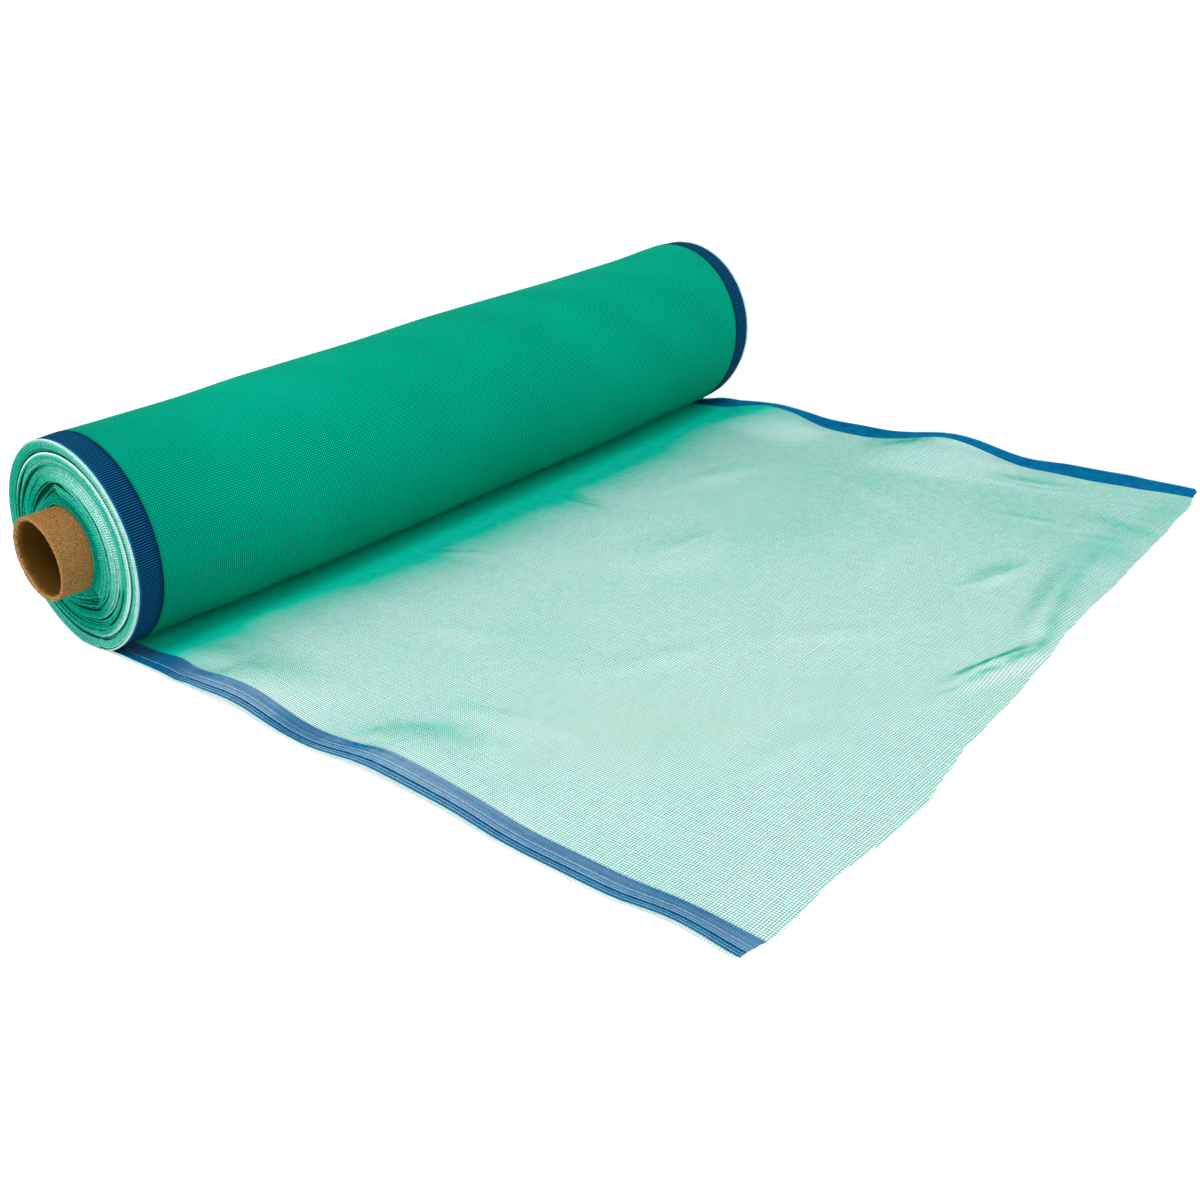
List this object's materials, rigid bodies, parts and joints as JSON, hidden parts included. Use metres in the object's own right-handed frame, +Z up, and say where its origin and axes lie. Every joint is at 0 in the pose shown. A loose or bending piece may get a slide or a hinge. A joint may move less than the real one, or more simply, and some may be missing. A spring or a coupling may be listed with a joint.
{
  "type": "roll of insect screen mesh on a cardboard core, part unrolled",
  "caption": "Roll of green woven insect screen mesh with blue selvedges on a cardboard core, its loose end unrolled over the floor.",
  "frame": {"origin": "on the floor, on the roll's flat spot, under the middle of the roll's length", "axes": "+Z up; +Y along the roll, from the end where the core sticks out to the other end; +X the way the loose end lies"},
  "size_m": [0.944, 1.053, 0.2289],
  "materials": {
    "cardboard": "matt spiral-wound grey-brown board with a frayed cut edge",
    "wound_net": "green plain-woven monofilament net in many layers, with dark blue woven selvedges and mint edge loops",
    "loose_net": "single see-through layer of the same green net with blue selvedges"
  },
  "bodies": {
    "root": {"core_tube": "cardboard", "wound_roll": "wound_net", "loose_end": "loose_net"}
  },
  "joints": []
}
